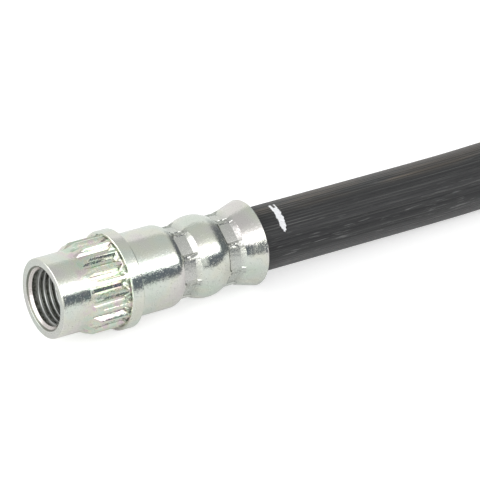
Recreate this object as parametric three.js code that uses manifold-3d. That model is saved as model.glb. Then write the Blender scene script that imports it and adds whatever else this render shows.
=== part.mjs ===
// Brake hose lying on a bench: a rubber hose with a crimped steel fitting on each end.
// Millimetres, +Z up. The origin is on the bench, midway between the two fittings.
//
// A fitting is drawn along +X from the centre of its threaded end, and angles about its axis
// run from +Z towards -Y. It is turned as a blank, bored, splined and then crimped on the hose.

import * as THREE from 'three';
import { mergeVertices } from 'three/addons/utils/BufferGeometryUtils.js';
import Module from 'manifold-3d';

const wasm = await Module();
wasm.setup();

// Assembly
const ASSEMBLY_LENGTH = 272; // from one threaded end to the other, along X
const SIDE_STEP = 20; // sideways, between the axes of the two fittings
const SEAT_GAP = 0.3; // left between pieces that seat on each other

// Hose
const HOSE_DIAMETER = 10.5;
const HOSE_BORE = 3.2;

// Nose, with the internal thread
const NOSE_DIAMETER = 13;
const NOSE_LENGTH = 5;
const NOSE_CHAMFER = 0.35;
const THREAD_BORE = 8.92; // core of an M10 x 1 internal thread
const THREAD_MOUTH = 10.6; // widest part of the countersink
const THREAD_DEPTH = 11.5;
const DRILL_POINT = THREE.MathUtils.degToRad(118);

// Splined collar
const SPLINE_TEETH = 20;
const SPLINE_TIP_DIAMETER = 14.8;
const SPLINE_ROOT_DIAMETER = 13.2;
const SPLINE_TIP_LAND = 0.52; // width of a tooth's top
const SPLINE_FLOOR = 0.46; // width of a groove's floor
const SPLINE_LEAD_IN = 1.7; // length of the cone on the front ends of the teeth
const SPLINE_LENGTH = 6.55; // from the nose to the flange
const SPLINE_RUN_OUT = 1.1; // where the grooves rise to the flange
const SPLINE_STOP = 0.15; // from the end of a groove to the flange
const SPLINE_ANGLE = THREE.MathUtils.degToRad(3.2); // where one tooth stands

// Flange
const FLANGE_DIAMETER = 16.1;
const FLANGE_WIDTH = 2.15;
const FLANGE_CHAMFER = 0.2;

// Crimped sleeve: a barrel, two waists with a bulge between them, and a bell mouth
const BARREL_DIAMETER = 13.5;
const BARREL_LENGTH = 7; // from the flange to the first shoulder
const WAIST_DIAMETER = 11.7;
const BULGE_DIAMETER = 13.4;
const SHOULDER_TO_WAIST = 3; // along the axis, as the next three
const WAIST_TO_BULGE = 4.35;
const BULGE_TO_WAIST = 3.95;
const WAIST_TO_MOUTH = 5.35;
const CRIMP_EASE = 0.48; // share of a step that runs level at each of its ends
const MOUTH_DIAMETER = 14.1;
const MOUTH_FLARE = 0.4; // how much the radius grows over the last part of the bell
const MOUTH_LIP = 0.15;
const SLEEVE_WALL = 1.05;
const BULKHEAD = 3.9; // solid metal behind the flange, which the hose butts against

// Marks that the crimping dies leave round each waist
const DIE_COUNT = 8;
const DIE_FLOOR_DIAMETER = 11.2;
const DIE_WIDTH = 2.4; // of the floor, along the axis
const DIE_SLOPE = THREE.MathUtils.degToRad(40); // how steeply the floor rises at its rear
const DIE_SWEEP = THREE.MathUtils.degToRad(37);
const DIE_ANGLE = THREE.MathUtils.degToRad(33.7); // middle of one mark

// Insert tube, pressed into the fitting and standing in the hose's bore
const FEED_BORE = 2.5;
const INSERT_DIAMETER = 3.3;
const INSERT_SEAT = 3.5; // how far it goes into the bulkhead
const INSERT_REACH = 18; // how far it stands out of the bulkhead
const BARB_COUNT = 5;
const BARB_PITCH = 3;
const BARB_HEIGHT = 0.25;
const BARB_SLOPE = 2.4; // length of the slope behind a barb's crest

// Fineness of the turned faces
const OUTER_SIDES = 40;
const BORE_SIDES = 24;
const SQUEEZE_SIDES = 16;
const INSERT_SIDES = 12;
const CURVE_STEPS = 4;
const HOSE_STEPS = 40;

// Stations along a fitting's axis
const collarEnd = NOSE_LENGTH + SPLINE_LENGTH;
const flangeEnd = collarEnd + FLANGE_WIDTH;
const shoulder = flangeEnd + BARREL_LENGTH;
const firstWaist = shoulder + SHOULDER_TO_WAIST;
const bulge = firstWaist + WAIST_TO_BULGE;
const secondWaist = bulge + BULGE_TO_WAIST;
const mouth = secondWaist + WAIST_TO_MOUTH;
const hoseSeat = flangeEnd + BULKHEAD;
const insertSeat = hoseSeat - INSERT_SEAT;
const insertEnd = hoseSeat + INSERT_REACH;
const past = 1; // how far a cutter runs past the face that it opens

// Centreline of the hose, from inside the near fitting to inside the far one. Each half is straight
// out of its fitting, comes down on to the bench, and swings across to the other fitting's axis.
const HOSE_ROUTE = [
  [-118.12, 10, 7.83],
  [-110, 10, 7.49],
  [-98.7, 10, 7.02],
  [-86, 10, 6.48],
  [-75, 10, 6.02],
  [-66, 10, 5.65],
  [-58, 10, 5.38],
  [-50, 9.95, 5.3],
  [-41, 9.4, 5.3],
  [-32, 8.1, 5.3],
  [-22, 5.9, 5.3],
  [-11, 3.1, 5.3],
  [0, 0, 5.3],
  [11, -3.1, 5.3],
  [22, -5.9, 5.3],
  [32, -8.1, 5.3],
  [41, -9.4, 5.3],
  [50, -9.95, 5.3],
  [58, -10, 5.38],
  [66, -10, 5.65],
  [75, -10, 6.02],
  [86, -10, 6.48],
  [98.7, -10, 7.02],
  [110, -10, 7.49],
  [118.12, -10, 7.83],
];

const zincPlate = new THREE.MeshStandardMaterial({ color: 0xc6cabf, metalness: 1, roughness: 0.32 });
const brightSteel = new THREE.MeshStandardMaterial({ color: 0xb4b6b8, metalness: 1, roughness: 0.4 });
const rubber = new THREE.MeshStandardMaterial({ color: 0x29282a, metalness: 0, roughness: 0.75 });

// A closed mesh as a solid, with its shared corners merged and its empty faces dropped.
function solidOf(geometry) {
  geometry.deleteAttribute('normal');
  geometry.deleteAttribute('uv');
  const merged = mergeVertices(geometry, 1e-5);
  const corners = merged.index.array;
  const faces = [];
  for (let i = 0; i < corners.length; i += 3) {
    const [a, b, c] = corners.subarray(i, i + 3);
    if (a !== b && b !== c && c !== a) faces.push(a, b, c);
  }
  const vertProperties = merged.attributes.position.array;
  return new wasm.Manifold(new wasm.Mesh({ numProp: 3, vertProperties, triVerts: new Uint32Array(faces) }));
}

function meshOf(name, solid, material) {
  const { vertProperties, triVerts } = solid.getMesh();
  const geometry = new THREE.BufferGeometry();
  geometry.setAttribute('position', new THREE.BufferAttribute(vertProperties, 3));
  geometry.setIndex(new THREE.BufferAttribute(triVerts, 1));
  const faceted = geometry.toNonIndexed();
  faceted.computeVertexNormals();
  const mesh = new THREE.Mesh(faceted, material);
  mesh.name = name;
  return mesh;
}

// A profile of (station, radius) points turned about the X axis.
function turned(profile, sides, place = new THREE.Matrix4()) {
  const points = profile.map(([station, radius]) => new THREE.Vector2(radius, station));
  const geometry = new THREE.LatheGeometry(points, sides, Math.PI / sides);
  geometry.rotateZ(-Math.PI / 2);
  geometry.applyMatrix4(place);
  return solidOf(geometry);
}

// The solid between cross-sections that all have the same number of corners.
function lofted(sections) {
  const sides = sections[0].length;
  const faces = [];
  for (let row = 0; row < sections.length - 1; row++) {
    for (let side = 0; side < sides; side++) {
      const next = (side + 1) % sides;
      const a = row * sides + side;
      const b = row * sides + next;
      faces.push(a, a + sides, b, b, a + sides, b + sides);
    }
  }
  const last = (sections.length - 1) * sides;
  for (let side = 1; side < sides - 1; side++) {
    faces.push(0, side, side + 1);
    faces.push(last, last + side + 1, last + side);
  }
  const geometry = new THREE.BufferGeometry().setFromPoints(sections.flat());
  geometry.setIndex(faces);
  return solidOf(geometry);
}

// The outline of the crimped sleeve from its first shoulder to its mouth, moved in by an inset.
function crimpedOutline(inset) {
  const path = new THREE.Path();
  const stops = [
    [shoulder, BARREL_DIAMETER / 2 - inset],
    [firstWaist, WAIST_DIAMETER / 2 - inset],
    [bulge, BULGE_DIAMETER / 2 - inset],
    [secondWaist, WAIST_DIAMETER / 2 - inset],
  ];
  path.moveTo(...stops[0]);
  for (let i = 1; i < stops.length; i++) {
    const [fromStation, fromRadius] = stops[i - 1];
    const [toStation, toRadius] = stops[i];
    const reach = (toStation - fromStation) * CRIMP_EASE;
    path.bezierCurveTo(fromStation + reach, fromRadius, toStation - reach, toRadius, toStation, toRadius);
  }
  const mouthRadius = MOUTH_DIAMETER / 2 - inset;
  const waistRadius = WAIST_DIAMETER / 2 - inset;
  path.bezierCurveTo(
    secondWaist + WAIST_TO_MOUTH / 3, waistRadius,
    mouth - WAIST_TO_MOUTH / 3, mouthRadius - MOUTH_FLARE,
    mouth, mouthRadius,
  );
  return path.getPoints(CURVE_STEPS).map((point) => [point.x, point.y]);
}

// The turned blank, solid, with the collar still round at its tip diameter.
function blank() {
  const nose = NOSE_DIAMETER / 2;
  const tip = SPLINE_TIP_DIAMETER / 2;
  const flange = FLANGE_DIAMETER / 2;
  const lip = MOUTH_DIAMETER / 2;
  const sleeve = crimpedOutline(0);
  sleeve.pop();
  return turned(
    [
      [0, 0],
      [0, nose - NOSE_CHAMFER],
      [NOSE_CHAMFER, nose],
      [NOSE_LENGTH, nose],
      [NOSE_LENGTH + SPLINE_LEAD_IN, tip],
      [collarEnd, tip],
      [collarEnd, flange - FLANGE_CHAMFER],
      [collarEnd + FLANGE_CHAMFER, flange],
      [flangeEnd - FLANGE_CHAMFER, flange],
      [flangeEnd, flange - FLANGE_CHAMFER],
      [flangeEnd, BARREL_DIAMETER / 2],
      ...sleeve,
      [mouth - MOUTH_LIP, lip],
      [mouth, lip - MOUTH_LIP],
      [mouth, 0],
    ],
    OUTER_SIDES,
  );
}

// The threaded socket, its drilled end and the fine bore that feeds the hose.
function socketCutter() {
  const bore = THREAD_BORE / 2;
  const countersink = (THREAD_MOUTH - THREAD_BORE) / 2;
  const feed = FEED_BORE / 2;
  const insert = INSERT_DIAMETER / 2 + SEAT_GAP;
  const point = (bore - feed) / Math.tan(DRILL_POINT / 2);
  return turned(
    [
      [-past, 0],
      [-past, bore + countersink + past],
      [countersink, bore],
      [THREAD_DEPTH, bore],
      [THREAD_DEPTH + point, feed],
      [insertSeat, feed],
      [insertSeat, insert],
      [hoseSeat + past, insert],
      [hoseSeat + past, 0],
    ],
    BORE_SIDES,
  );
}

// The room for the hose inside the sleeve.
function hoseRoomCutter() {
  const room = crimpedOutline(SLEEVE_WALL);
  const [, mouthRadius] = room[room.length - 1];
  return turned(
    [
      [hoseSeat, 0],
      [hoseSeat, BARREL_DIAMETER / 2 - SLEEVE_WALL],
      ...room,
      [mouth + past, mouthRadius],
      [mouth + past, 0],
    ],
    BORE_SIDES,
  );
}

// One groove between two teeth, with a flat floor that rises out of the collar before the flange.
function splineGroove(angle) {
  const tip = SPLINE_TIP_DIAMETER / 2;
  const root = SPLINE_ROOT_DIAMETER / 2;
  const halfFloor = SPLINE_FLOOR / 2;
  const halfPitch = Math.PI / SPLINE_TEETH;
  const halfGap = tip * Math.sin(halfPitch) - SPLINE_TIP_LAND / 2;
  const flank = (halfGap - halfFloor) / (tip * Math.cos(halfPitch) - root);
  const top = FLANGE_DIAMETER / 2;
  const outwards = new THREE.Vector3(0, -Math.sin(angle), Math.cos(angle));
  const across = new THREE.Vector3(0, -Math.cos(angle), -Math.sin(angle));
  const corner = (station, radius, side) =>
    new THREE.Vector3(station, 0, 0).addScaledVector(outwards, radius).addScaledVector(across, side);
  const section = (station, floor) => {
    const halfTop = halfFloor + (top - floor) * flank;
    return [
      corner(station, floor, -halfFloor),
      corner(station, floor, halfFloor),
      corner(station, top, halfTop),
      corner(station, top, -halfTop),
    ];
  };
  const end = collarEnd - SPLINE_STOP;
  return lofted([section(NOSE_LENGTH - past, root), section(end - SPLINE_RUN_OUT, root), section(end, tip)]);
}

// The mark of one crimping die: a sector of a ring, level along the axis and sloping up at its rear.
function dieMark(station, angle) {
  const floor = DIE_FLOOR_DIAMETER / 2;
  const crest = BULGE_DIAMETER / 2;
  const clear = crest + past;
  const section = (place, radius) => {
    const corner = (reach, share) => {
      const turn = angle + DIE_SWEEP * share;
      return new THREE.Vector3(place, -reach * Math.sin(turn), reach * Math.cos(turn));
    };
    return [
      corner(radius, 0),
      corner(radius, 0.5),
      corner(clear, 0.5),
      corner(clear, 0),
      corner(clear, -0.5),
      corner(radius, -0.5),
    ];
  };
  const front = station - DIE_WIDTH / 2;
  const rear = station + DIE_WIDTH / 2;
  const top = rear + (crest - floor) / Math.tan(DIE_SLOPE);
  return lofted([section(front, floor), section(rear, floor), section(top, crest)]);
}

function endFitting() {
  let fitting = blank().subtract(socketCutter()).subtract(hoseRoomCutter());
  for (let tooth = 0; tooth < SPLINE_TEETH; tooth++) {
    const valley = SPLINE_ANGLE + ((tooth + 0.5) * 2 * Math.PI) / SPLINE_TEETH;
    fitting = fitting.subtract(splineGroove(valley));
  }
  for (const station of [firstWaist, secondWaist]) {
    for (let die = 0; die < DIE_COUNT; die++) {
      fitting = fitting.subtract(dieMark(station, DIE_ANGLE + (die * 2 * Math.PI) / DIE_COUNT));
    }
  }
  return fitting;
}

// A plain tube where it is pressed in, and barbed where the hose grips it.
function insertTube() {
  const outer = INSERT_DIAMETER / 2;
  const inner = FEED_BORE / 2;
  const start = insertSeat + SEAT_GAP;
  const firstBarb = insertEnd - BARB_COUNT * BARB_PITCH;
  const profile = [[start, inner], [start, outer]];
  for (let barb = 0; barb < BARB_COUNT; barb++) {
    const crest = firstBarb + barb * BARB_PITCH;
    profile.push([crest, outer], [crest, outer + BARB_HEIGHT], [crest + BARB_SLOPE, outer]);
  }
  profile.push([insertEnd, outer], [insertEnd, inner], [start, inner]);
  return turned(profile, INSERT_SIDES);
}

// What the crimp takes away from the hose's outside, and what the insert takes from its bore.
function squeezedAway(place) {
  const outside = crimpedOutline(SLEEVE_WALL + SEAT_GAP);
  const wide = HOSE_DIAMETER;
  const barbs = INSERT_DIAMETER / 2 + BARB_HEIGHT + SEAT_GAP;
  const crimp = [[shoulder, wide], ...outside, [mouth, wide], [shoulder, wide]];
  const bore = [
    [hoseSeat - past, 0],
    [hoseSeat - past, barbs],
    [insertEnd + SEAT_GAP, barbs],
    [insertEnd + SEAT_GAP, 0],
  ];
  return turned(crimp.reverse(), SQUEEZE_SIDES, place).add(turned(bore, INSERT_SIDES, place));
}

function hose(places) {
  const route = new THREE.CatmullRomCurve3(HOSE_ROUTE.map((point) => new THREE.Vector3(...point)));
  const section = new THREE.Shape();
  section.absarc(0, 0, HOSE_DIAMETER / 2, 0, 2 * Math.PI, false);
  const bore = new THREE.Path();
  bore.absarc(0, 0, HOSE_BORE / 2, 0, 2 * Math.PI, true);
  section.holes.push(bore);
  const options = { steps: HOSE_STEPS, extrudePath: route, curveSegments: 6 };
  let tube = solidOf(new THREE.ExtrudeGeometry(section, options));
  for (const place of places) tube = tube.subtract(squeezedAway(place));
  return tube;
}

// A fitting lies on its flange and on the rim of its mouth, so its axis slopes down to the hose.
const facetHeight = Math.cos(Math.PI / OUTER_SIDES);
const flangeFoot = [flangeEnd - FLANGE_CHAMFER, (FLANGE_DIAMETER / 2) * facetHeight];
const mouthFoot = [mouth - MOUTH_LIP, (MOUTH_DIAMETER / 2) * facetHeight];
const restTilt = Math.atan2(flangeFoot[1] - mouthFoot[1], mouthFoot[0] - flangeFoot[0]);
const axisHeight = flangeFoot[0] * Math.sin(restTilt) + flangeFoot[1] * Math.cos(restTilt);

const brakeHose = new THREE.Group();
const places = [];
for (const [end, turn] of [['near', 0], ['far', Math.PI]]) {
  const side = new THREE.Group();
  side.rotation.z = turn;
  const lying = new THREE.Group();
  lying.position.set(-ASSEMBLY_LENGTH / 2, SIDE_STEP / 2, axisHeight);
  lying.rotation.y = restTilt;
  lying.add(meshOf(`${end}_end_fitting`, endFitting(), zincPlate));
  lying.add(meshOf(`${end}_insert_tube`, insertTube(), brightSteel));
  side.add(lying);
  brakeHose.add(side);
  side.updateMatrixWorld(true);
  places.push(lying.matrixWorld.clone());
}
brakeHose.add(meshOf('hose', hose(places), rubber));

export default brakeHose;
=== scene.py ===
# A brake hose lying on a pale floor: a ribbed rubber hose with a crimped, zinc-plated steel fitting on each end.
# Lengths are in millimetres and become metres as a piece is put in its place. The hose's route and length, the
# camera, the lamp and the floor are in metres from the start.

import math
import random

import bmesh
import bpy
from mathutils import Matrix, Vector
from mathutils.geometry import interpolate_bezier


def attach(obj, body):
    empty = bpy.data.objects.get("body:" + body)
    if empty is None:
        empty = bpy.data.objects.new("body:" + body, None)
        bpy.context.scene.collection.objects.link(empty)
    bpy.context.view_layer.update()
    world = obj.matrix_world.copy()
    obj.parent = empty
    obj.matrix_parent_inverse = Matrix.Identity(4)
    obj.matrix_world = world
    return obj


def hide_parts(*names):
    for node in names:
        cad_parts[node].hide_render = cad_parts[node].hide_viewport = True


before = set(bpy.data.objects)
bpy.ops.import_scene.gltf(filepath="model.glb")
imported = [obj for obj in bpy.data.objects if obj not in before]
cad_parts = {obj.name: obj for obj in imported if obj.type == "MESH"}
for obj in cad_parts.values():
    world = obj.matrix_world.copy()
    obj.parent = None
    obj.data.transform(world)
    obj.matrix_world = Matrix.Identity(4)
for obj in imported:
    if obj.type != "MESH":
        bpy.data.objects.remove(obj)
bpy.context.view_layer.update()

METRES = 0.001

# Length of a piece that one unit of its UV map covers
UV_LENGTH = 100

# Assembly
ASSEMBLY_LENGTH = 272
SIDE_STEP = 20
SEAT_GAP = 0.3

# Hose
HOSE_DIAMETER = 10.5
HOSE_BORE = 3.2
RIB_COUNT = 66
LINES_PER_RIB = 4
RIB_HEIGHT = 0.04
RIB_DEPTH = (0.01, 0.08)
GROOVE_SHOULDER = 0.25
SKIN_FAULTS = (0.008, 0.012)
HOSE_CREASE = 50

# Squeeze of the hose under a row of die marks, and how far it reaches in front of the marks and behind them
SQUEEZE = 0.35
SQUEEZE_REACH = (0.4, 0.2)

# Dash of paint on the hose: station at the top, lean per degree, and the angles that it starts and ends at
DASH_STATION = 24.28
DASH_LEAN = 0.006
DASH_ANGLES = (-6, 57)
DASH_NARROWS = (44, 58)
DASH_HALF_WIDTH = (0.56, 0.1)
DASH_FAULT = 0.75
NOTCH_SHIFT = 0.12
NOTCH_HALF_WIDTH = 0.22
NOTCH_END = 5

# Nose and its thread
NOSE_RADIUS = 6.5
NOSE_LENGTH = 5
THREAD_CORE = 4.46
THREAD_ROOT = 5.0
THREAD_PITCH = 1
COUNTERSINK = 5.26
CONE_END = 0.66
THREAD_START = 1.2
THREAD_DEPTH = 11.5
THREAD_TURNS = 9.4
THREAD_STEPS = 64
DRILL_END = 13.4

# Half of the thread ridge's section, from foot to crest: distance along the axis, and depth below the crest
THREAD_SECTION = [(0.43, 0.62), (0.21, 0.09), (0.12, 0.02), (0, 0)]

# Splined collar, where a tooth's land and its floor are shares of its pitch
TEETH = 20
TOOTH_TIP = 7.4
TOOTH_ROOT = 6.6
TOOTH_LAND = 0.11
TOOTH_FLOOR = 0.39
TOOTH_ANGLE = 3.2
LEAD_IN = 1.7
RUN_OUT_START = 10.75
RUN_OUT_END = 11.35
COLLAR_END = 11.55
COLLAR_STEP = 7.45
GROOVE_PHASES = (0.2, 0.8)

# Flange and barrel
FLANGE_RADIUS = 8.05
FLANGE_END = 13.7
FLANGE_CHAMFER = 0.2
BARREL_RADIUS = 6.75

# Crimped sleeve
SHOULDER = 20.7
FIRST_WAIST = 23.7
BULGE = 28.05
SECOND_WAIST = 32.0
MOUTH = 37.35
WAIST_RADIUS = 5.85
BULGE_RADIUS = 6.72
MOUTH_RADIUS = 7.05
SLEEVE_WALL = 1.05
WAIST_HANDLE = 0.48
MOUTH_HANDLE = 0.4
CURVE_STEPS = 24
FITTING_CREASE = 18
HOSE_SEAT = 17.6
INSERT_SEAT = 14.1
INSERT_ROOM = 1.95
FEED_RADIUS = 1.25

# Marks of the crimping dies
DIE_COUNT = 8
RIDGE_ANGLE = 11.2
RIDGE_LINES = (-4.6, -3.7, -2.5, -1.2, 0, 1.2, 2.5, 3.7, 4.6)
RIDGE_TOP = 3.8
DIE_FLOOR = 5.55
DIE_FLATNESS = 0.7
DIE_FLAT_ANGLE = 14
MARK_WALL = 0.12
MARK_BOW = 0.22
LIP_WIDTH = 0.09

# Rings between the main stations
SHOULDER_RINGS = 5
FLOOR_RINGS = 7
BULGE_RINGS = 14
BELL_RINGS = 9
INSIDE_RINGS = 14

# Front edge, rear edge of the floor, and top of the rear slope, for each row of marks
FIRST_MARK = (22.4, 24.75, 25.3)
SECOND_MARK = (30.9, 33.05, 33.6)

# Small faults of rolled and pressed metal: the furthest that a point is moved, or the least and the most
LEAD_FAULT = 0.04
RUN_FAULT = (-0.09, 0.05)
TOOTH_FAULT = 0.015
RIDGE_SINK = (-0.15, -0.04)
RIDGE_TURN = 0.3
RIDGE_FAULT = 0.03
FLOOR_FAULT = 0.006
EDGE_FAULT = 0.02
EDGE_RISE = (0, 0.01)

# Lines that run along a fitting
LINES = 240
LINES_PER_TOOTH = LINES // TEETH
LINES_PER_DIE = LINES // DIE_COUNT
TOOTH_PHASES = (-0.13, -0.095, 0, 0.095, 0.13, 0.25, 0.365, 0.41, 0.5, 0.59, 0.635, 0.75)

# Line that the first ridge starts on, so that a line is moved as little as can be
LINES_TO_RIDGE = round((RIDGE_ANGLE + RIDGE_LINES[0]) * LINES / 360)

# Kinds of rings on the collar, and on the crimp between the shoulder and the mouth
COLLAR_KINDS = ("front", "lead", "tooth", "run", "step")
CRIMP_KINDS = ("crimp", "front_edge", "foot", "floor", "rear_edge")

# Vertex masks that a fitting's finish reads
MASKS = ("tinted", "dulled", "painted_shade", "rosy")

# Painted shade in the corners, grooves, thread roots and die marks, for each kind of ring: on a crest or a ridge,
# and down in a groove or a die mark
PAINTED_SHADE = {
    "brim": (1.1, 1.1),
    "root": (0.72, 0.72),
    "run": (0.2, 0.5),
    "step": (0.3, 0.7),
    "corner": (0.75, 0.75),
    "front_edge": (0, 1.0),
    "foot": (0.5, 1.0),
    "floor": (0.5, 0),
}
RIDGE_CORNER_SHADE = 0.4
THREAD_DULLNESS = 2.2
THREAD_SHADE = (0.1, 0.75)

# Centreline of the hose in metres, from inside the near fitting to inside the far one
HOSE_ROUTE = [
    (-0.11812, 0.01, 0.00783),
    (-0.11, 0.01, 0.00749),
    (-0.0987, 0.01, 0.00702),
    (-0.086, 0.01, 0.00648),
    (-0.075, 0.01, 0.00602),
    (-0.066, 0.01, 0.00565),
    (-0.058, 0.01, 0.00538),
    (-0.05, 0.00995, 0.0053),
    (-0.041, 0.0094, 0.0053),
    (-0.032, 0.0081, 0.0053),
    (-0.022, 0.0059, 0.0053),
    (-0.011, 0.0031, 0.0053),
    (0, 0, 0.0053),
    (0.011, -0.0031, 0.0053),
    (0.022, -0.0059, 0.0053),
    (0.032, -0.0081, 0.0053),
    (0.041, -0.0094, 0.0053),
    (0.05, -0.00995, 0.0053),
    (0.058, -0.01, 0.00538),
    (0.066, -0.01, 0.00565),
    (0.075, -0.01, 0.00602),
    (0.086, -0.01, 0.00648),
    (0.0987, -0.01, 0.00702),
    (0.11, -0.01, 0.00749),
    (0.11812, -0.01, 0.00783),
]

# Distance between the hose's rings, and how many of them one step of its bore takes
HOSE_STEP = 1.2
BORE_STEP = 4

# Camera, in metres, degrees and millimetres of lens
CAMERA_PLACE = (-0.404058, -0.467328, 0.3392728)
CAMERA_AZIMUTH = -32.5187
CAMERA_ELEVATION = 30.3512
CAMERA_LENS = 308.767

# Lamp and floor, in metres and watts
LAMP_PLACE = (-0.35, 0.75, 0.8)
LAMP_SIZE = (0.9, 0.5)
LAMP_POWER = 1.8
FLOOR_RADIUS = 3.0
FLOOR_DROP = 0.00005
WORLD_STRENGTH = 3.0


# Places of the two fittings: each lies on its flange and on the rim of its mouth

rest_tilt = math.atan2(FLANGE_RADIUS - MOUTH_RADIUS, MOUTH - FLANGE_END)
axis_height = FLANGE_END * math.sin(rest_tilt) + FLANGE_RADIUS * math.cos(rest_tilt)


def fitting_place(turn):
    lying = Matrix.Translation((-ASSEMBLY_LENGTH / 2, SIDE_STEP / 2, axis_height))
    tilt = Matrix.Rotation(rest_tilt, 4, "Y")
    return Matrix.Scale(METRES, 4) @ Matrix.Rotation(turn, 4, "Z") @ lying @ tilt


# Camera

def make_camera():
    azimuth = math.radians(CAMERA_AZIMUTH)
    elevation = math.radians(CAMERA_ELEVATION)
    back = Vector(
        (
            math.sin(azimuth) * math.cos(elevation),
            -math.cos(azimuth) * math.cos(elevation),
            math.sin(elevation),
        )
    )
    right = Vector((math.cos(azimuth), math.sin(azimuth), 0))
    up = back.cross(right)
    data = bpy.data.cameras.new("camera")
    data.lens = CAMERA_LENS
    data.clip_start = 0.01
    data.clip_end = 20
    camera = bpy.data.objects.new("camera", data)
    turn = Matrix((right, up, back)).transposed().to_4x4()
    camera.matrix_world = Matrix.Translation(CAMERA_PLACE) @ turn
    bpy.context.scene.collection.objects.link(camera)
    bpy.context.scene.camera = camera


# Mesh helpers

def spun_solid(profile, lines):
    """A closed outline of (station, radius) points, spun about the X axis. Angles run from +Z towards -Y.
    The layer ring_number says which point of the outline a vertex comes from."""
    bm = bmesh.new()
    ring_number = bm.verts.layers.int.new("ring_number")
    corners = [bm.verts.new((station, 0, radius)) for station, radius in profile]
    for number, corner in enumerate(corners):
        corner[ring_number] = number
    edges = [bm.edges.new((corners[i - 1], corners[i])) for i in range(len(corners))]
    bmesh.ops.spin(
        bm,
        geom=corners + edges,
        cent=(0, 0, 0),
        axis=(1, 0, 0),
        angle=2 * math.pi,
        steps=lines,
        use_merge=True,
    )
    bmesh.ops.remove_doubles(bm, verts=bm.verts, dist=1e-5)
    bmesh.ops.recalc_face_normals(bm, faces=bm.faces)
    return bm


def turn_and_radius(vert):
    """A vertex's angle in degrees, from 0 to 360, and its distance from the X axis."""
    angle = math.degrees(math.atan2(-vert.co.y, vert.co.z)) % 360
    return angle, math.hypot(vert.co.y, vert.co.z)


def set_vert(vert, station, radius, angle):
    turn = math.radians(angle)
    vert.co = (station, -radius * math.sin(turn), radius * math.cos(turn))


def keep_straight_place(bm):
    """Stores where each point lies on the straight piece, so that a pattern can follow the surface."""
    straight = bm.verts.layers.float_vector.new("straight")
    for vert in bm.verts:
        vert[straight] = vert.co.copy()


def unwrap_round(bm):
    """A UV map with the angle across and the station along, which the seam at the foot of the piece closes."""
    uv = bm.loops.layers.uv.new("unwrapped")
    for face in bm.faces:
        turns = []
        for loop in face.loops:
            angle, _ = turn_and_radius(loop.vert)
            turns.append(((angle + 180) % 360) / 360)
        across_seam = max(turns) - min(turns) > 0.5
        for loop, turn in zip(face.loops, turns):
            if across_seam and turn < 0.5:
                turn += 1
            loop[uv].uv = (turn, loop.vert.co.x / UV_LENGTH)


def mark_sharp(bm, degrees):
    """Smooth faces all over, with a crease wherever two faces meet at more than so many degrees."""
    bm.normal_update()
    for face in bm.faces:
        face.smooth = True
    for edge in bm.edges:
        edge.smooth = len(edge.link_faces) == 2 and edge.calc_face_angle() < math.radians(degrees)


def finished(bm, name, material):
    """Makes the piece's object, which rides on the one body."""
    mesh = bpy.data.meshes.new(name)
    bm.to_mesh(mesh)
    bm.free()
    mesh.materials.append(material)
    piece = bpy.data.objects.new(name, mesh)
    bpy.context.scene.collection.objects.link(piece)
    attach(piece, "root")
    return piece


# Outline of the crimped sleeve

def crimp_curve():
    """Bezier stretches from the shoulder, over the two waists and the bulge, to the mouth."""
    stops = [
        (SHOULDER, BARREL_RADIUS),
        (FIRST_WAIST, WAIST_RADIUS),
        (BULGE, BULGE_RADIUS),
        (SECOND_WAIST, WAIST_RADIUS),
    ]
    points = []
    for (from_x, from_r), (to_x, to_r) in zip(stops, stops[1:]):
        reach = (to_x - from_x) * WAIST_HANDLE
        knots = [(from_x, from_r), (from_x + reach, from_r), (to_x - reach, to_r), (to_x, to_r)]
        points += interpolate_bezier(*[Vector(knot) for knot in knots], CURVE_STEPS)[:-1]
    bell = MOUTH - SECOND_WAIST
    knots = [
        (SECOND_WAIST, WAIST_RADIUS),
        (SECOND_WAIST + bell / 3, WAIST_RADIUS),
        (MOUTH - bell / 3, MOUTH_RADIUS - MOUTH_HANDLE),
        (MOUTH, MOUTH_RADIUS),
    ]
    points += interpolate_bezier(*[Vector(knot) for knot in knots], CURVE_STEPS)
    return points


CRIMP_POINTS = crimp_curve()


def crimp_radius(station):
    """Radius of the smooth sleeve at a station, without the die marks."""
    if station <= SHOULDER:
        return BARREL_RADIUS
    for a, b in zip(CRIMP_POINTS, CRIMP_POINTS[1:]):
        if a.x <= station <= b.x:
            return a.y + (b.y - a.y) * (station - a.x) / (b.x - a.x)
    return MOUTH_RADIUS


def evenly(start, end, count):
    """Stations strictly between start and end."""
    return [start + (end - start) * (i + 1) / (count + 1) for i in range(count)]


# End fitting

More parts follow.
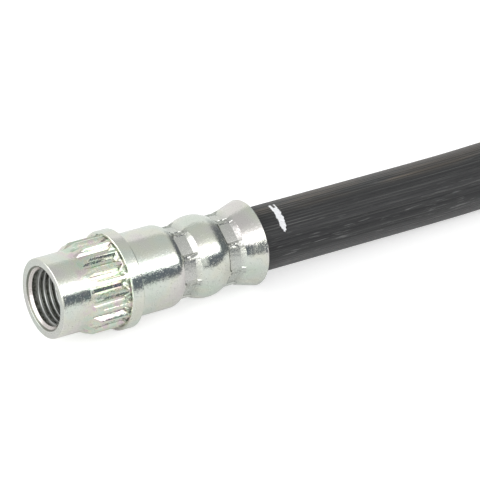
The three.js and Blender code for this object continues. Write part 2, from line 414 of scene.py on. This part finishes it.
def fitting_rings():
    """The fitting's closed outline as (kind, station, radius), out along the outside and back along the bores.
    The kind says how the ring is shaped and finished."""
    flange_start = COLLAR_END + FLANGE_CHAMFER
    flange_step = FLANGE_RADIUS - FLANGE_CHAMFER
    rings = [
        ("face", 0, COUNTERSINK + 0.06),
        ("face", 0, 6.34),
        ("plain", 0.07, 6.44),
        ("plain", 0.22, NOSE_RADIUS),
        ("plain", 2.6, NOSE_RADIUS),
        ("front", NOSE_LENGTH, NOSE_RADIUS),
        ("lead", NOSE_LENGTH + 0.1, NOSE_RADIUS + 0.01),
        ("tooth", 8.4, NOSE_RADIUS + 0.02),
        ("run", RUN_OUT_START, NOSE_RADIUS + 0.03),
        ("step", RUN_OUT_END, COLLAR_STEP),
        ("step", COLLAR_END, COLLAR_STEP + 0.01),
        ("plain", COLLAR_END, flange_step),
        ("plain", COLLAR_END + 0.06, FLANGE_RADIUS - 0.06),
        ("plain", flange_start, FLANGE_RADIUS),
        ("plain", FLANGE_END - FLANGE_CHAMFER, FLANGE_RADIUS),
        ("plain", FLANGE_END, flange_step),
        ("plain", FLANGE_END, BARREL_RADIUS + 0.2),
        ("corner", FLANGE_END + 0.07, BARREL_RADIUS + 0.06),
        ("plain", FLANGE_END + 0.25, BARREL_RADIUS),
        ("plain", 17, BARREL_RADIUS),
        ("plain", 19.8, BARREL_RADIUS),
    ]
    stations = [("plain", SHOULDER)]
    stations += [("plain", x) for x in evenly(SHOULDER, FIRST_MARK[0], SHOULDER_RINGS)]
    stations += mark_stations(*FIRST_MARK)
    stations += [("crimp", x) for x in evenly(FIRST_MARK[2], SECOND_MARK[0], BULGE_RINGS)]
    stations += mark_stations(*SECOND_MARK)
    stations += [("crimp", x) for x in evenly(SECOND_MARK[2], MOUTH - 0.15, BELL_RINGS)]
    rings += [(kind, x, crimp_radius(x)) for kind, x in stations]
    rings += [
        ("plain", MOUTH - 0.15, MOUTH_RADIUS - 0.015),
        ("plain", MOUTH - 0.04, MOUTH_RADIUS - 0.05),
        ("plain", MOUTH, MOUTH_RADIUS - 0.15),
        ("plain", MOUTH, MOUTH_RADIUS - SLEEVE_WALL + 0.1),
    ]
    inside = [MOUTH - 0.1, *reversed(evenly(SHOULDER, MOUTH - 0.1, INSIDE_RINGS)), SHOULDER]
    rings += [("plain", x, crimp_radius(x) - SLEEVE_WALL) for x in inside]
    rings += [
        ("plain", HOSE_SEAT, BARREL_RADIUS - SLEEVE_WALL),
        ("plain", HOSE_SEAT, INSERT_ROOM),
        ("plain", INSERT_SEAT, INSERT_ROOM),
        ("plain", INSERT_SEAT, FEED_RADIUS),
        ("plain", DRILL_END, FEED_RADIUS),
        ("plain", THREAD_DEPTH, THREAD_CORE),
        ("plain", THREAD_DEPTH - 0.4, THREAD_CORE),
        ("root", THREAD_DEPTH - 0.9, THREAD_ROOT),
        ("root", CONE_END + 0.28, THREAD_ROOT),
        ("cone", CONE_END, COUNTERSINK - CONE_END),
        ("cone", 0.29, COUNTERSINK - 0.29),
        ("brim", 0.25, COUNTERSINK - 0.23),
        ("brim", 0.05, COUNTERSINK - 0.03),
    ]
    return rings


def mark_stations(start, end, top):
    """Rings across one row of die marks: a lip and a steep wall in front, the floor, and the slope behind it."""
    foot = start + MARK_WALL
    floor = [("floor", x) for x in evenly(foot, end, FLOOR_RINGS)]
    front = [("front_edge", start - LIP_WIDTH), ("front_edge", start), ("foot", foot)]
    return [*front, *floor, ("floor", end), ("rear_edge", top)]


def tooth_radius(phase):
    """Radius of the splines, where phase is the share of a tooth's pitch from its crest."""
    away = min(phase % 1, 1 - phase % 1)
    share = min(max((away - TOOTH_LAND) / (TOOTH_FLOOR - TOOTH_LAND), 0), 1)
    return TOOTH_TIP + (TOOTH_ROOT - TOOTH_TIP) * share


def tooth_line(line):
    """Angle of a line on the collar, and the share of a tooth's pitch that it lies from its crest."""
    tooth, place = divmod(line, LINES_PER_TOOTH)
    phase = TOOTH_PHASES[place]
    return TOOTH_ANGLE + (tooth + phase) * 360 / TEETH, phase


def die_line(line):
    """Angle of a line on the crimp, and its angle from the nearest ridge."""
    pitch = 360 / DIE_COUNT
    foot = RIDGE_LINES[-1]
    die, place = divmod(line - LINES_TO_RIDGE, LINES_PER_DIE)
    if place < len(RIDGE_LINES):
        from_ridge = RIDGE_LINES[place]
    else:
        step = (pitch - 2 * foot) / (LINES_PER_DIE - len(RIDGE_LINES) + 1)
        from_ridge = foot + step * (place - len(RIDGE_LINES) + 1)
    return RIDGE_ANGLE + die * pitch + from_ridge, from_ridge


def is_ridge(from_ridge):
    return abs(from_ridge) < RIDGE_TOP


def mark_middle(from_ridge):
    """1 in the middle of a die mark, falling to 0 at its two ends."""
    half = 180 / DIE_COUNT
    return 1 - ((from_ridge - half) / half) ** 2


def mark_floor(from_ridge):
    """Radius of a die mark's floor, which is flatter than the sleeve is round."""
    from_middle = math.radians(from_ridge - 180 / DIE_COUNT)
    flat = DIE_FLOOR * math.cos(math.radians(DIE_FLAT_ANGLE)) / math.cos(from_middle)
    return DIE_FLOOR + (flat - DIE_FLOOR) * DIE_FLATNESS


def shape_collar(kind, vert, line, chance):
    """Moves one point of the collar on to the splines, with the small faults of a rolled edge."""
    angle, phase = tooth_line(line)
    radius = tooth_radius(phase)
    station = vert.co.x
    if kind in ("front", "step"):
        _, radius = turn_and_radius(vert)
    elif kind == "lead":
        station = NOSE_LENGTH + LEAD_IN * (radius - NOSE_RADIUS) / (TOOTH_TIP - NOSE_RADIUS)
        station += chance.uniform(-LEAD_FAULT, LEAD_FAULT)
    elif kind == "run":
        rise = (radius - NOSE_RADIUS) / (COLLAR_STEP - NOSE_RADIUS)
        station = RUN_OUT_START + (RUN_OUT_END - RUN_OUT_START) * rise + chance.uniform(*RUN_FAULT)
    if kind in ("tooth", "run"):
        radius += chance.uniform(-TOOTH_FAULT, TOOTH_FAULT)
    set_vert(vert, station, radius, angle)


def shape_crimp(kind, vert, line, chance):
    """Presses one point of the sleeve into its die mark, or squeezes it up into the ridge between two marks."""
    angle, from_ridge = die_line(line)
    station, radius = vert.co.x, turn_and_radius(vert)[1]
    if is_ridge(from_ridge):
        if kind in ("floor", "foot"):
            radius += chance.uniform(*RIDGE_SINK)
            angle += chance.uniform(-RIDGE_TURN, RIDGE_TURN)
            station += chance.uniform(-RIDGE_FAULT, RIDGE_FAULT)
        set_vert(vert, station, radius, angle)
        return
    bow = MARK_BOW * mark_middle(from_ridge)
    if kind in ("floor", "foot"):
        radius = mark_floor(from_ridge) + chance.uniform(-FLOOR_FAULT, FLOOR_FAULT)
    if kind in ("front_edge", "foot"):
        station -= bow + chance.uniform(-EDGE_FAULT, EDGE_FAULT)
    elif kind == "rear_edge":
        station += bow + chance.uniform(-EDGE_FAULT, EDGE_FAULT)
        radius = crimp_radius(station) + chance.uniform(*EDGE_RISE)
    set_vert(vert, station, radius, angle)


def paint_masks(bm, rings_of):
    """Vertex masks for the finish: bright tints on the collar, dull metal where it was cut or pressed, painted
    shade in the corners, grooves and die marks, and a rose tint on the countersink."""
    tinted, dulled, painted_shade, rosy = (bm.verts.layers.float[name] for name in MASKS)
    for vert, kind, line in rings_of:
        from_ridge = die_line(line)[1]
        if kind in COLLAR_KINDS:
            vert[tinted] = 1.0
            sunk = GROOVE_PHASES[0] < tooth_line(line)[1] < GROOVE_PHASES[1]
        else:
            sunk = not is_ridge(from_ridge)
        # Painted shade: each kind of ring gets its share of darkening, more down in grooves and die marks
        vert[painted_shade] = PAINTED_SHADE.get(kind, (0, 0))[sunk]
        if kind in ("face", "cone", "root", "floor", "foot"):
            vert[dulled] = 1.0
        if kind == "cone":
            vert[rosy] = 0.7
        # Painted shade, lighter, in the corners where a ridge meets the slope behind the marks
        if kind == "rear_edge" and abs(from_ridge) <= RIDGE_LINES[-1]:
            vert[dulled] = 1.0
            vert[painted_shade] = RIDGE_CORNER_SHADE


def add_thread_ridge(bm):
    """The helical ridge of the internal thread. It is made apart, because a spin slows down in a large mesh."""
    front = [(-along, THREAD_CORE + depth) for along, depth in THREAD_SECTION]
    back = [(along, THREAD_CORE + depth) for along, depth in reversed(THREAD_SECTION[:-1])]
    section = front + back
    ridge = bmesh.new()
    corners = [ridge.verts.new((THREAD_START + x, 0, radius)) for x, radius in section]
    edges = [ridge.edges.new((corners[i - 1], corners[i])) for i in range(len(corners))]
    bmesh.ops.spin(
        ridge,
        geom=corners + edges,
        cent=(0, 0, 0),
        axis=(1, 0, 0),
        dvec=(THREAD_PITCH / THREAD_STEPS, 0, 0),
        angle=THREAD_TURNS * 2 * math.pi,
        steps=round(THREAD_TURNS * THREAD_STEPS),
    )
    open_edges = [edge for edge in ridge.edges if len(edge.link_faces) == 1]
    bmesh.ops.holes_fill(ridge, edges=open_edges, sides=len(section))
    bmesh.ops.recalc_face_normals(ridge, faces=ridge.faces)
    mesh = bpy.data.meshes.new("thread_ridge")
    ridge.to_mesh(mesh)
    ridge.free()
    before = len(bm.verts)
    bm.from_mesh(mesh)
    bpy.data.meshes.remove(mesh)
    _, dulled, painted_shade, _ = (bm.verts.layers.float[name] for name in MASKS)
    bm.verts.ensure_lookup_table()
    for vert in bm.verts[before:]:
        at_foot = turn_and_radius(vert)[1] > THREAD_ROOT
        vert[dulled] = THREAD_DULLNESS
        # Painted shade: the foot of the ridge, down in the thread's grooves, is darkened far more than its crest
        vert[painted_shade] = THREAD_SHADE[at_foot]


def end_fitting(name, turn, material):
    """A whole fitting, spun from its outline, shaped line by line, and laid in its place."""
    chance = random.Random(name)
    rings = fitting_rings()
    bm = spun_solid([(x, r) for _, x, r in rings], LINES)
    for name_of_mask in MASKS:
        bm.verts.layers.float.new(name_of_mask)
    ring_number = bm.verts.layers.int["ring_number"]
    rings_of = []
    for vert in bm.verts:
        angle, _ = turn_and_radius(vert)
        kind = rings[vert[ring_number]][0]
        rings_of.append((vert, kind, round(angle * LINES / 360) % LINES))
    for vert, kind, line in rings_of:
        if kind in COLLAR_KINDS:
            shape_collar(kind, vert, line, chance)
        elif kind in CRIMP_KINDS:
            shape_crimp(kind, vert, line, chance)
    paint_masks(bm, rings_of)
    add_thread_ridge(bm)
    keep_straight_place(bm)
    unwrap_round(bm)
    mark_sharp(bm, FITTING_CREASE)
    bmesh.ops.transform(bm, matrix=fitting_place(turn), verts=bm.verts)
    return finished(bm, name, material)


# Hose

def route_line(step):
    """Points a step apart, in millimetres, along the smooth curve through the route's points."""
    knots = [Vector(point) / METRES for point in HOSE_ROUTE]
    knots = [2 * knots[0] - knots[1], *knots, 2 * knots[-1] - knots[-2]]
    fine = []
    for a, b, c, d in zip(knots, knots[1:], knots[2:], knots[3:]):
        fine += interpolate_bezier(b, b + (c - a) / 6, c - (d - b) / 6, c, CURVE_STEPS)[:-1]
    fine.append(knots[-2])
    line, left = [fine[0]], step
    for a, b in zip(fine, fine[1:]):
        span = (b - a).length
        done = 0
        while span - done >= left:
            done += left
            line.append(a + (b - a) * done / span)
            left = step
        left -= span - done
    return line


def hose_radius(from_end):
    """Outer radius of the hose at a distance from its nearest end, squeezed where a crimp grips it."""
    station = from_end + HOSE_SEAT + SEAT_GAP
    if station > MOUTH:
        return HOSE_DIAMETER / 2
    room = crimp_radius(station) - SLEEVE_WALL - SEAT_GAP
    before, behind = SQUEEZE_REACH
    marked = any(start - before < station < top + behind for start, _, top in (FIRST_MARK, SECOND_MARK))
    return min(HOSE_DIAMETER / 2, room - SQUEEZE if marked else room)


def rib_height(station, length):
    """How far the ribs stand out where the hose is free of the fittings."""
    from_end = min(station, length - station) + HOSE_SEAT + SEAT_GAP
    return RIB_HEIGHT if from_end > MOUTH else 0


def rib_depths():
    """How far each line round the hose lies below the ribs' tops: a narrow groove beside each rib."""
    chance = random.Random("ribs")
    depths = []
    for _ in range(RIB_COUNT):
        groove = chance.uniform(*RIB_DEPTH)
        skin = [chance.uniform(0, fault) for fault in SKIN_FAULTS]
        depths += [groove, groove * GROOVE_SHOULDER, *skin]
    return depths


def bend_to(bm, line, step):
    """Lays a straight piece that starts at the origin along a line of points."""
    up = Vector((0, 0, 1))
    for vert in bm.verts:
        place = vert.co.x / step
        i = min(int(place), len(line) - 2)
        centre = line[i] + (line[i + 1] - line[i]) * (place - i)
        ahead = (line[min(i + 2, len(line) - 1)] - line[max(i - 1, 0)]).normalized()
        side = up.cross(ahead).normalized()
        over = ahead.cross(side)
        vert.co = centre + side * vert.co.y + over * vert.co.z


def hose(material):
    """The ribbed hose with its bore, made straight and then laid along its route."""
    line = route_line(HOSE_STEP)
    count = len(line) - 1
    length = count * HOSE_STEP
    outside = [(i * HOSE_STEP, hose_radius(min(i, count - i) * HOSE_STEP)) for i in range(count + 1)]
    bore = [(i * HOSE_STEP, HOSE_BORE / 2) for i in range(count, -1, -BORE_STEP)]
    if bore[-1][0] > 0:
        bore.append((0, HOSE_BORE / 2))
    lines = RIB_COUNT * LINES_PER_RIB
    bm = spun_solid(outside + bore, lines)
    depths = rib_depths()
    grooved = bm.verts.layers.float.new("grooved")
    for vert in bm.verts:
        angle, radius = turn_and_radius(vert)
        if radius > HOSE_BORE:
            depth = depths[round(angle * lines / 360) % lines]
            vert[grooved] = depth / RIB_DEPTH[1]
            set_vert(vert, vert.co.x, radius + rib_height(vert.co.x, length) - depth, angle)
    keep_straight_place(bm)
    unwrap_round(bm)
    mark_sharp(bm, HOSE_CREASE)
    bend_to(bm, line, HOSE_STEP)
    bmesh.ops.transform(bm, matrix=Matrix.Scale(METRES, 4), verts=bm.verts)
    piece = finished(bm, "ribbed_hose", material)
    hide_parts("hose")
    return piece


# Materials

class Nodes:
    """A node tree that places nodes, sets their inputs and links them."""

    def __init__(self, tree):
        self.tree = tree

    def add(self, kind, settings=None, **inputs):
        node = self.tree.nodes.new(kind)
        for name, value in (settings or {}).items():
            setattr(node, name, value)
        for name, value in inputs.items():
            self.put(node, name.replace("_", " "), value)
        return node

    def put(self, node, name, value):
        socket = node.inputs[int(name)] if name.isdigit() else node.inputs[name]
        if isinstance(value, bpy.types.NodeSocket):
            self.tree.links.new(value, socket)
        else:
            socket.default_value = value

    def math(self, operation, a, b=0.0, clamp=False):
        node = self.tree.nodes.new("ShaderNodeMath")
        node.operation = operation
        node.use_clamp = clamp
        self.put(node, "0", a)
        self.put(node, "1", b)
        return node.outputs[0]

    def between(self, value, low, high, to_low=0.0, to_high=1.0):
        node = self.add("ShaderNodeMapRange", {"interpolation_type": "SMOOTHSTEP"}, Value=value)
        for name, number in (("From Min", low), ("From Max", high), ("To Min", to_low), ("To Max", to_high)):
            node.inputs[name].default_value = number
        return node.outputs["Result"]

    def mix(self, share, a, b, blend="MIX"):
        """Mixes two colours, whose sockets on this node are 6 and 7."""
        node = self.tree.nodes.new("ShaderNodeMix")
        node.data_type = "RGBA"
        node.blend_type = blend
        node.clamp_factor = True
        self.put(node, "0", share)
        self.put(node, "6", a)
        self.put(node, "7", b)
        return node.outputs[2]

    def noise(self, vector, scale, detail=2.0, roughness=0.5):
        node = self.add("ShaderNodeTexNoise", Vector=vector, Scale=scale, Detail=detail, Roughness=roughness)
        return node.outputs["Fac"]

    def ramp(self, value, stops):
        node = self.add("ShaderNodeValToRGB", Fac=value)
        elements = node.color_ramp.elements
        while len(elements) < len(stops):
            elements.new(0.5)
        for element, (place, colour) in zip(elements, stops):
            element.position = place
            element.color = colour if len(colour) == 4 else (*colour, 1)
        return node.outputs["Color"]

    def straight(self, scale=(1, 1, 1)):
        """The point's place on the straight piece, in millimetres."""
        source = self.add("ShaderNodeAttribute", {"attribute_name": "straight"})
        mapping = self.add("ShaderNodeMapping", Vector=source.outputs["Vector"], Scale=scale)
        return mapping.outputs["Vector"]

    def mask(self, name):
        return self.add("ShaderNodeAttribute", {"attribute_name": name}).outputs["Fac"]

    def group(self, tree, **inputs):
        node = self.add("ShaderNodeGroup")
        node.node_tree = tree
        for name, value in inputs.items():
            self.put(node, name, value)
        return node.outputs


def new_group(name, inputs, outputs):
    """A shader node group. Inputs and outputs are (name, kind) or (name, kind, value)."""
    tree = bpy.data.node_groups.new(name, "ShaderNodeTree")
    for in_out, sockets in (("INPUT", inputs), ("OUTPUT", outputs)):
        for socket in sockets:
            made = tree.interface.new_socket(socket[0], in_out=in_out, socket_type="NodeSocket" + socket[1])
            if len(socket) > 2:
                made.default_value = socket[2]
    nodes = Nodes(tree)
    return nodes, nodes.add("NodeGroupInput").outputs, nodes.add("NodeGroupOutput")


def speckle_group():
    """Fine crystalline speckle: a height for the bump and a mask of its darker grains."""
    nodes, given, out = new_group(
        "speckle",
        [("Vector", "Vector"), ("Grains", "Float", 3.0)],
        [("Height", "Float"), ("Dark", "Float")],
    )
    coarse = nodes.noise(given["Vector"], given["Grains"], 2.0, 0.6)
    twice = nodes.math("MULTIPLY", given["Grains"], 2.7)
    fine = nodes.noise(given["Vector"], twice, 1.0, 0.5)
    both = nodes.math("ADD", nodes.math("MULTIPLY", coarse, 0.65), nodes.math("MULTIPLY", fine, 0.35))
    nodes.put(out, "Height", both)
    nodes.put(out, "Dark", nodes.between(both, 0.5, 0.66))
    return nodes.tree


def film_group():
    """The thin coloured film on plated steel: green, straw and rose patches that fade into each other."""
    nodes, given, out = new_group(
        "film",
        [("Vector", "Vector"), ("Patches", "Float", 0.3), ("Strength", "Float", 0.5), ("Metal", "Color")],
        [("Color", "Color")],
    )
    patches = nodes.noise(given["Vector"], given["Patches"], 2.0, 0.45)
    tint = nodes.ramp(
        patches,
        [
            (0.30, (0.92, 0.74, 0.84)),
            (0.40, (0.97, 0.88, 0.88)),
            (0.47, (0.97, 0.94, 0.80)),
            (0.55, (0.90, 0.95, 0.90)),
            (0.64, (0.78, 0.93, 0.80)),
            (0.74, (0.98, 0.95, 0.76)),
        ],
    )
    coated = nodes.mix(1.0, given["Metal"], tint, "MULTIPLY")
    nodes.put(out, "Color", nodes.mix(given["Strength"], given["Metal"], coated))
    return nodes.tree


def new_material(name):
    material = bpy.data.materials.new(name)
    material.use_nodes = True
    nodes = Nodes(material.node_tree)
    return material, nodes, material.node_tree.nodes["Principled BSDF"]


def zinc_plate(speckle, film):
    material, nodes, shader = new_material("zinc_plate")
    place = nodes.straight()
    tinted = nodes.mask("tinted")
    dulled = nodes.mask("dulled")
    painted_shade = nodes.mask("painted_shade")
    metal = (0.79, 0.81, 0.765, 1)
    soft = nodes.group(film, Vector=place, Patches=0.16, Strength=0.45, Metal=metal)["Color"]
    strong = nodes.group(film, Vector=place, Patches=0.7, Strength=1.0, Metal=metal)["Color"]
    colour = nodes.mix(tinted, soft, strong)
    colour = nodes.mix(nodes.mask("rosy"), colour, (0.80, 0.64, 0.62, 1))
    colour = nodes.mix(nodes.math("MULTIPLY", dulled, 0.55), colour, (0.55, 0.56, 0.54, 1))
    grains = nodes.group(speckle, Vector=place, Grains=2.6)
    colour = nodes.mix(nodes.math("MULTIPLY", grains["Dark"], 0.12), colour, (0.45, 0.47, 0.49, 1))
    # Painted shade: the painted_shade mask, broken into blotches by noise, darkens the colour to a dark olive grey
    # and roughens it in the corners, grooves and die marks
    cover = nodes.math("ADD", nodes.noise(place, 2.4, 2.0, 0.6), painted_shade)
    shade_share = nodes.between(cover, 0.85, 1.35, 0.0, 0.85)
    colour = nodes.mix(shade_share, colour, (0.10, 0.10, 0.078, 1))
    nodes.put(shader, "Base Color", colour)
    shader.inputs["Metallic"].default_value = 1.0
    rough = nodes.math("ADD", 0.11, nodes.math("MULTIPLY", grains["Dark"], 0.26))
    rough = nodes.math("ADD", rough, nodes.math("MULTIPLY", dulled, 0.10))
    rough = nodes.math("ADD", rough, nodes.math("MULTIPLY", shade_share, 0.20))
    nodes.put(shader, "Roughness", rough)
    bump = nodes.add("ShaderNodeBump", Height=grains["Height"], Strength=0.5, Distance=0.00006)
    nodes.put(shader, "Normal", bump.outputs["Normal"])
    return material


def hose_rubber(speckle):
    material, nodes, shader = new_material("hose_rubber")
    long_streaks = nodes.noise(nodes.straight((0.012, 1.6, 1.6)), 1.0, 4.0, 0.62)
    fine_streaks = nodes.noise(nodes.straight((0.05, 6.5, 6.5)), 1.0, 3.0, 0.7)
    patches = nodes.noise(nodes.straight((0.06, 0.25, 0.25)), 1.0, 2.0, 0.5)
    both = nodes.math("ADD", nodes.math("MULTIPLY", long_streaks, 0.4), nodes.math("MULTIPLY", fine_streaks, 0.6))
    colour = nodes.ramp(
        both,
        [
            (0.36, (0.006, 0.006, 0.007)),
            (0.45, (0.018, 0.018, 0.019)),
            (0.53, (0.032, 0.032, 0.033)),
            (0.60, (0.070, 0.070, 0.069)),
            (0.69, (0.150, 0.149, 0.146)),
        ],
    )
    # Painted shade: the grooves beside the ribs are darkened, the deeper ones more
    grooved = nodes.math("MULTIPLY", nodes.mask("grooved"), 0.75)
    colour = nodes.mix(grooved, colour, (0.004, 0.004, 0.005, 1))
    angle, station = angle_and_station(nodes)
    flecks = nodes.between(nodes.noise(nodes.straight((0.22, 3.4, 3.4)), 1.0, 3.0, 0.65), 0.57, 0.70, 0.0, 0.46)
    flecks = nodes.math("MULTIPLY", flecks, nodes.between(angle, 40, 100, 0.2, 1.0))
    colour = nodes.mix(flecks, colour, (0.27, 0.27, 0.265, 1))
    # Painted light: the underside of the hose, from 86 to 130 degrees round, is made up to a third lighter grey,
    # standing in for light bounced up from the floor
    colour = nodes.mix(nodes.between(angle, 86, 130, 0.0, 0.35), colour, (0.11, 0.11, 0.108, 1))
    brown = nodes.math("MULTIPLY", nodes.between(patches, 0.30, 0.50), 0.8)
    top_strip = nodes.math("MULTIPLY", nodes.between(angle, 27, 14), nodes.between(angle, -50, -20))
    brown = nodes.math("MULTIPLY", brown, top_strip)
    colour = nodes.mix(brown, colour, nodes.mix(1.0, colour, (1.72, 1.42, 1.12, 1), "MULTIPLY"))
    painted = paint_mask(nodes, angle, station)
    colour = nodes.mix(painted, colour, (0.80, 0.80, 0.82, 1))
    nodes.put(shader, "Base Color", colour)
    shader.inputs["Specular IOR Level"].default_value = 0.4
    shader.inputs["Sheen Weight"].default_value = 0.12
    nodes.put(shader, "Roughness", nodes.between(both, 0.4, 0.66, 0.45, 0.68))
    grains = nodes.group(speckle, Vector=nodes.straight((0.5, 1.6, 1.6)), Grains=2.0)
    height = nodes.math("ADD", both, nodes.math("MULTIPLY", grains["Height"], 0.25))
    height = nodes.math("ADD", height, nodes.math("MULTIPLY", painted, 0.5))
    bump = nodes.add("ShaderNodeBump", Height=height, Strength=0.7, Distance=0.00008)
    nodes.put(shader, "Normal", bump.outputs["Normal"])
    return material


def angle_and_station(nodes):
    """The point's angle round the straight piece in degrees, 0 at the top, and its distance along it."""
    uv = nodes.add("ShaderNodeUVMap", {"uv_map": "unwrapped"}).outputs["UV"]
    parts = nodes.add("ShaderNodeSeparateXYZ", Vector=uv).outputs
    angle = nodes.math("SUBTRACT", nodes.math("MULTIPLY", parts["X"], 360), 180)
    return angle, nodes.math("MULTIPLY", parts["Y"], UV_LENGTH)


def paint_mask(nodes, angle, station):
    """One brushed dash of paint across the hose near its fitting: forked at its top, pointed at its foot."""
    top, foot = DASH_ANGLES
    noise = nodes.noise(nodes.straight(), 2.4, 3.0, 0.65)
    ragged = nodes.math("MULTIPLY", nodes.math("SUBTRACT", noise, 0.5), DASH_FAULT)
    middle = nodes.math("SUBTRACT", DASH_STATION, nodes.math("MULTIPLY", angle, DASH_LEAN))
    off = nodes.math("ABSOLUTE", nodes.math("ADD", nodes.math("SUBTRACT", station, middle), ragged))
    half = nodes.between(angle, *DASH_NARROWS, *DASH_HALF_WIDTH)
    across = nodes.math("LESS_THAN", off, half)
    along = nodes.math("MULTIPLY", nodes.math("GREATER_THAN", angle, top), nodes.math("LESS_THAN", angle, foot))
    notch_off = nodes.math("ABSOLUTE", nodes.math("SUBTRACT", nodes.math("SUBTRACT", station, middle), NOTCH_SHIFT))
    notch = nodes.math("LESS_THAN", notch_off, NOTCH_HALF_WIDTH)
    notch = nodes.math("MULTIPLY", notch, nodes.math("LESS_THAN", angle, NOTCH_END))
    return nodes.math("MULTIPLY", nodes.math("MULTIPLY", across, along), nodes.math("SUBTRACT", 1.0, notch))


def insert_steel(speckle):
    material, nodes, shader = new_material("insert_steel")
    source = nodes.add("ShaderNodeTexCoord").outputs["Object"]
    place = nodes.add("ShaderNodeMapping", Vector=source, Scale=[1 / METRES] * 3).outputs["Vector"]
    grains = nodes.group(speckle, Vector=place, Grains=3.0)
    nodes.put(shader, "Base Color", nodes.mix(grains["Dark"], (0.66, 0.67, 0.68, 1), (0.45, 0.46, 0.47, 1)))
    shader.inputs["Metallic"].default_value = 1.0
    nodes.put(shader, "Roughness", nodes.between(grains["Height"], 0.3, 0.7, 0.28, 0.42))
    return material


# Studio

def make_world():
    """A studio that reflects as long level bands: pale behind, grey overhead, and a soft box in front above a
    dark wall. The wall at the near end is white and the one at the far end is dark."""
    world = bpy.data.worlds.new("studio")
    world.use_nodes = True
    bpy.context.scene.world = world
    nodes = Nodes(world.node_tree)
    background = world.node_tree.nodes["Background"]
    direction = nodes.add("ShaderNodeTexCoord").outputs["Generated"]
    parts = nodes.add("ShaderNodeSeparateXYZ", Vector=direction).outputs
    round_x = nodes.math("DIVIDE", nodes.math("ARCTAN2", parts["Z"], parts["Y"]), math.pi)
    bands = nodes.ramp(
        round_x,
        [
            (0.00, (0.30, 0.303, 0.30)),
            (0.27, (0.30, 0.303, 0.30)),
            (0.292, (0.195, 0.203, 0.197)),
            (0.53, (0.205, 0.212, 0.207)),
            (0.60, (0.235, 0.24, 0.235)),
            (0.645, (0.28, 0.283, 0.28)),
            (0.685, (0.40, 0.40, 0.40)),
            (0.74, (0.85, 0.85, 0.85)),
            (0.835, (0.95, 0.95, 0.95)),
            (0.865, (0.045, 0.051, 0.061)),
            (1.00, (0.055, 0.061, 0.072)),
        ],
    )
    low_front = nodes.between(round_x, 0.83, 0.87)
    pale_front = nodes.math("MULTIPLY", low_front, nodes.between(parts["X"], -0.04, -0.14))
    bands = nodes.mix(pale_front, bands, (0.26, 0.265, 0.262, 1))
    bands = nodes.mix(nodes.between(parts["X"], -0.62, -0.78), bands, (0.85, 0.85, 0.85, 1))
    bands = nodes.mix(nodes.between(parts["X"], 0.64, 0.90), bands, (0.05, 0.055, 0.06, 1))
    bands = nodes.mix(nodes.between(parts["Z"], 0.0, -0.03), bands, (0.27, 0.27, 0.27, 1))
    nodes.put(background, "Color", bands)
    background.inputs["Strength"].default_value = WORLD_STRENGTH


def make_back_light():
    """A wide lamp high behind the hose, for the faint shadow in front of it."""
    data = bpy.data.lights.new("back_light", "AREA")
    data.shape = "RECTANGLE"
    data.size, data.size_y = LAMP_SIZE
    data.energy = LAMP_POWER
    lamp = bpy.data.objects.new("back_light", data)
    place = Vector(LAMP_PLACE)
    lamp.matrix_world = Matrix.Translation(place) @ place.to_track_quat("Z", "Y").to_matrix().to_4x4()
    lamp.visible_glossy = False
    bpy.context.scene.collection.objects.link(lamp)


def make_floor():
    """A round floor that looks brighter than it reflects, and that the metal sees end in the dark in front."""
    bm = bmesh.new()
    bmesh.ops.create_circle(bm, cap_ends=True, radius=FLOOR_RADIUS, segments=64)
    mesh = bpy.data.meshes.new("floor")
    bm.to_mesh(mesh)
    bm.free()
    material, nodes, shader = new_material("pale_floor")
    seen = nodes.add("ShaderNodeLightPath").outputs["Is Camera Ray"]
    place = nodes.add("ShaderNodeTexCoord").outputs["Object"]
    forward = nodes.add("ShaderNodeSeparateXYZ", Vector=place).outputs["Y"]
    dark_edge = nodes.math("MULTIPLY", nodes.between(forward, -0.086, -0.097), nodes.math("SUBTRACT", 1.0, seen))
    nodes.put(shader, "Base Color", nodes.mix(dark_edge, (0.62, 0.62, 0.62, 1), (0.072, 0.078, 0.09, 1)))
    shader.inputs["Roughness"].default_value = 0.9
    shader.inputs["Specular IOR Level"].default_value = 0.1
    shader.inputs["Emission Color"].default_value = (1, 1, 1, 1)
    glow = nodes.math("MULTIPLY", nodes.math("SUBTRACT", 1.0, dark_edge), 0.15)
    nodes.put(shader, "Emission Strength", nodes.math("ADD", glow, nodes.math("MULTIPLY", seen, 0.415)))
    mesh.materials.append(material)
    floor = bpy.data.objects.new("floor", mesh)
    floor.location.z = -FLOOR_DROP
    bpy.context.scene.collection.objects.link(floor)


# Making

bpy.context.scene.view_settings.view_transform = "Standard"

make_camera()
make_world()
make_back_light()
make_floor()

speckle = speckle_group()
film = film_group()
zinc = zinc_plate(speckle, film)
hose(hose_rubber(speckle))
for end, turn in (("near", 0), ("far", math.pi)):
    fitting = end_fitting(f"{end}_crimped_fitting", turn, zinc)
    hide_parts(f"{end}_end_fitting")

steel = insert_steel(speckle)
for end in ("near", "far"):
    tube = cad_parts[f"{end}_insert_tube"]
    tube.data.materials.clear()
    tube.data.materials.append(steel)
